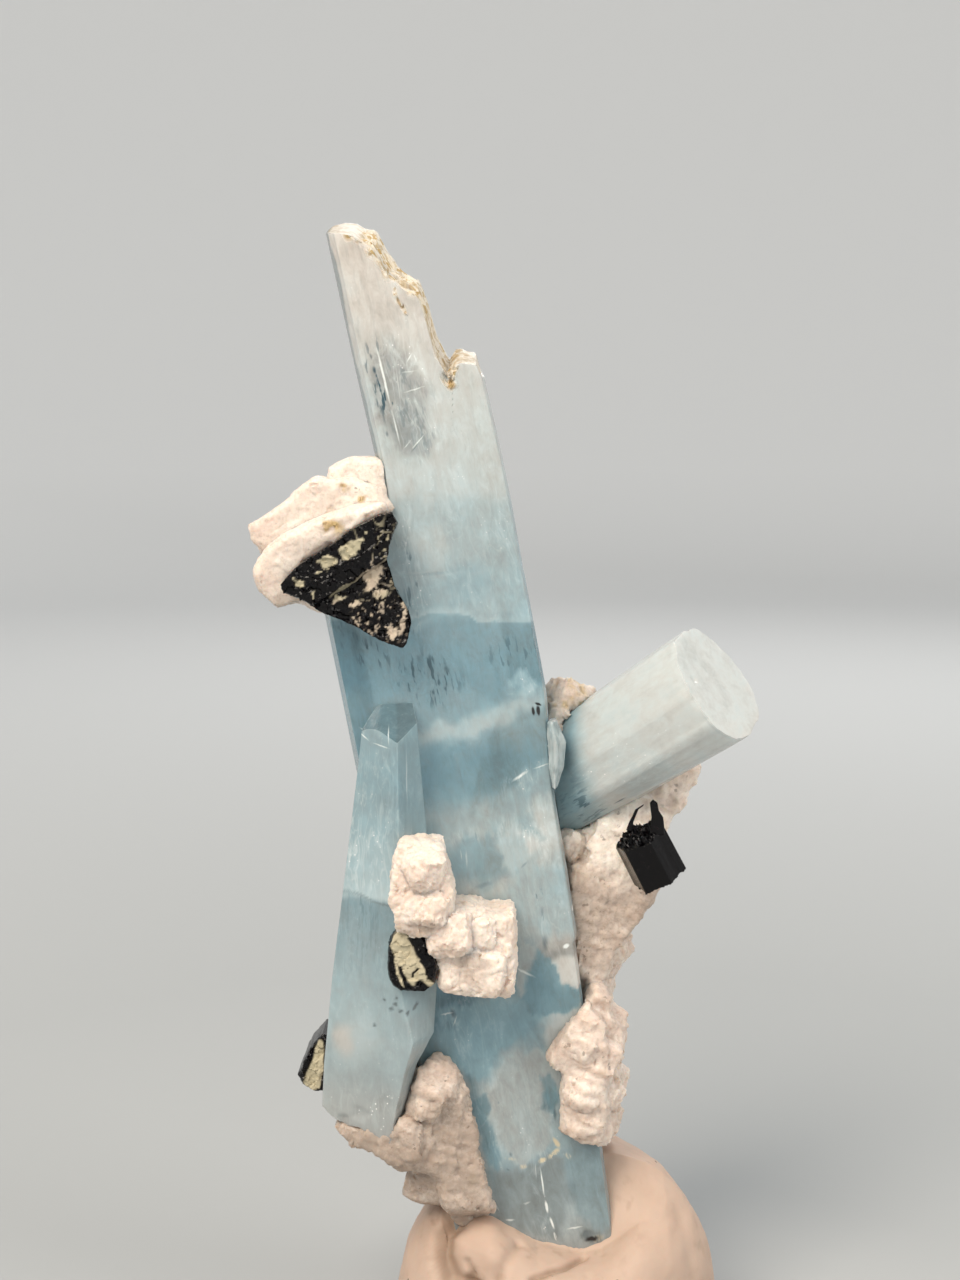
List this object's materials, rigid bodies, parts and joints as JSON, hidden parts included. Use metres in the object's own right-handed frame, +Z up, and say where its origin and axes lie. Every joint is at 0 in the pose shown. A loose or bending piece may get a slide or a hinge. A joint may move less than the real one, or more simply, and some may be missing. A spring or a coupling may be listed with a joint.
{
  "type": "aquamarine crystal specimen",
  "caption": "Tall pale-blue aquamarine prisms grown with blocky white albite and black schorl, leaning upright with its foot in a kneaded putty base.",
  "frame": {"origin": "middle of the putty lump's flat base, which rests on the table", "axes": "+Z up along the tall prism, -Y towards the show side, +X to the viewer's right"},
  "size_m": [0.0742, 0.0428, 0.1736],
  "materials": {
    "beryl": "clear to cloudy pale blue crystal with glossy prism faces",
    "albite": "granular, white to pinkish with tan stains",
    "schorl": "glossy black with lengthwise ribs and beige crusts",
    "putty": "matte, kneaded by hand"
  },
  "bodies": {
    "root": {"main_crystal": "beryl", "front_crystal": "beryl", "right_crystal": "beryl", "blade_crystal": "beryl", "upper_schorl": "schorl", "front_schorl": "schorl", "right_schorl": "schorl", "left_schorl": "schorl", "feldspar_matrix": "albite", "upper_feldspar": "albite", "front_feldspar": "albite", "mounting_putty": "putty"}
  },
  "joints": []
}
